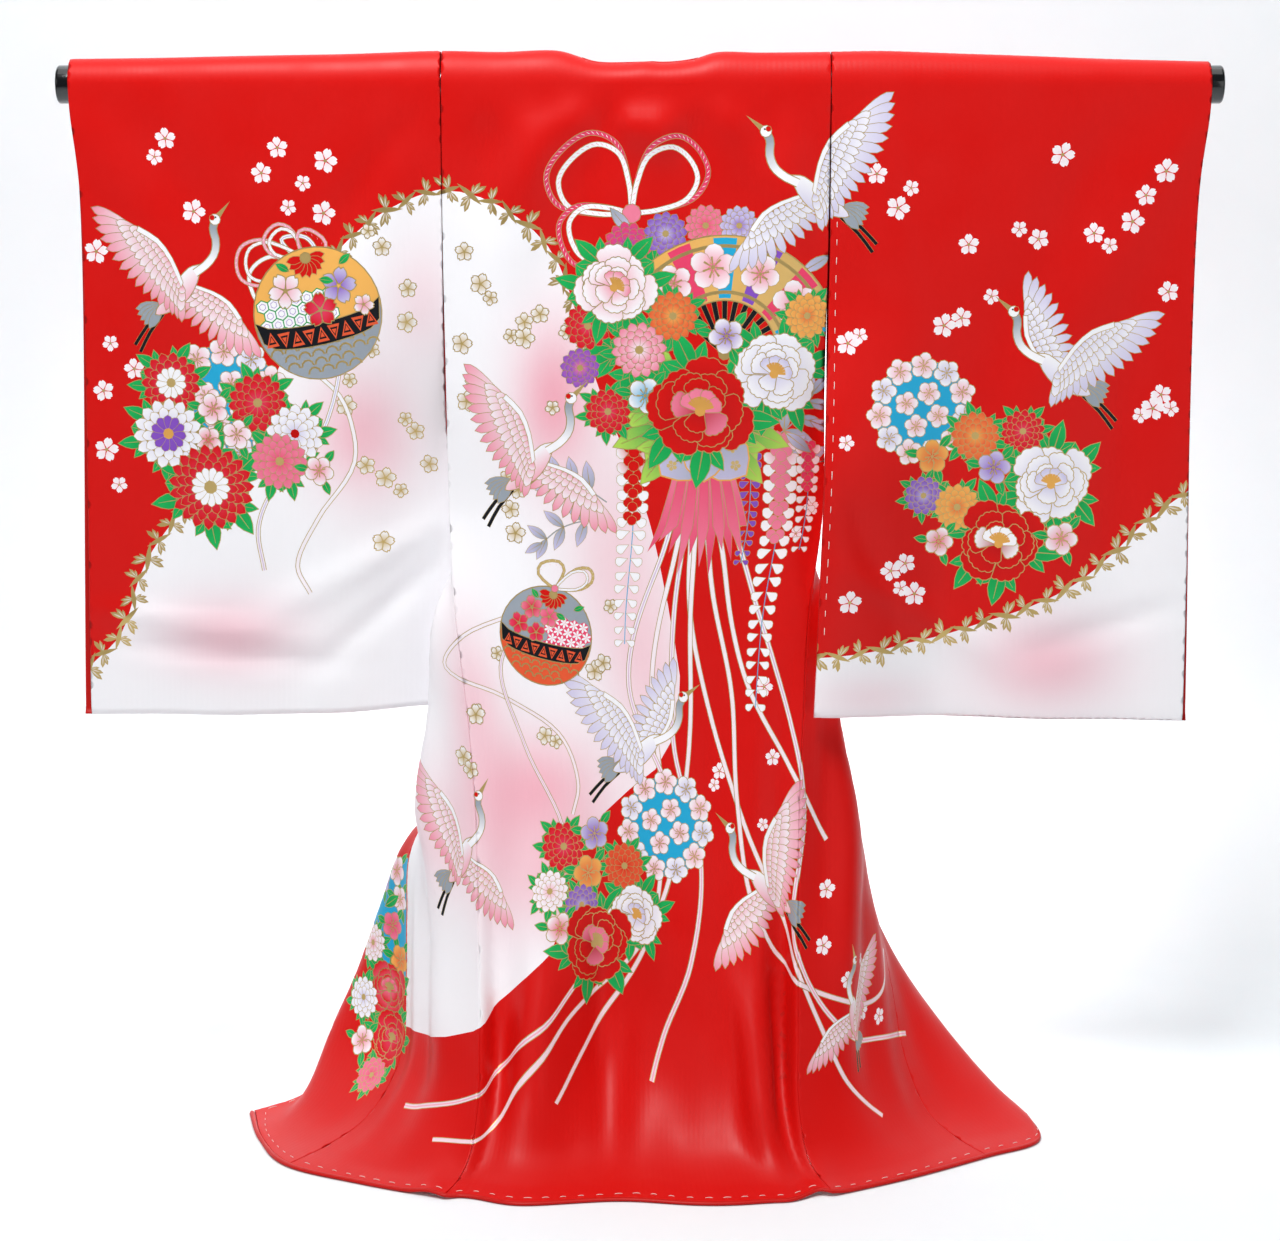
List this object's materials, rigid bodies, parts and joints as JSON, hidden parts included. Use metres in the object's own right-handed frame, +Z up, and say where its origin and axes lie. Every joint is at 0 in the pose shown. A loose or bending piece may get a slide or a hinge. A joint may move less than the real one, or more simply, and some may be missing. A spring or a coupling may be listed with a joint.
{
  "type": "baby ceremonial kimono on display rod",
  "caption": "Lined baby kimono with wide open sleeves, hung back outwards over a straight rod, with its skirt spread on the floor.",
  "frame": {"origin": "middle of the rod's axis", "axes": "+X along the rod towards the wearer's right sleeve, +Z up, the kimono's back faces -Y"},
  "size_m": [1.164, 0.4415, 1.1037],
  "materials": {
    "figured_silk": "satin",
    "lining_silk": "satin",
    "black_lacquer": "gloss"
  },
  "bodies": {
    "root": {"back_panel": "figured_silk", "front_left": "figured_silk", "front_right": "figured_silk", "overlap_left": "figured_silk", "overlap_right": "figured_silk", "collar": "figured_silk", "sleeve_left": "figured_silk", "sleeve_right": "figured_silk", "hem_roll": "lining_silk", "rod": "black_lacquer"}
  },
  "joints": []
}
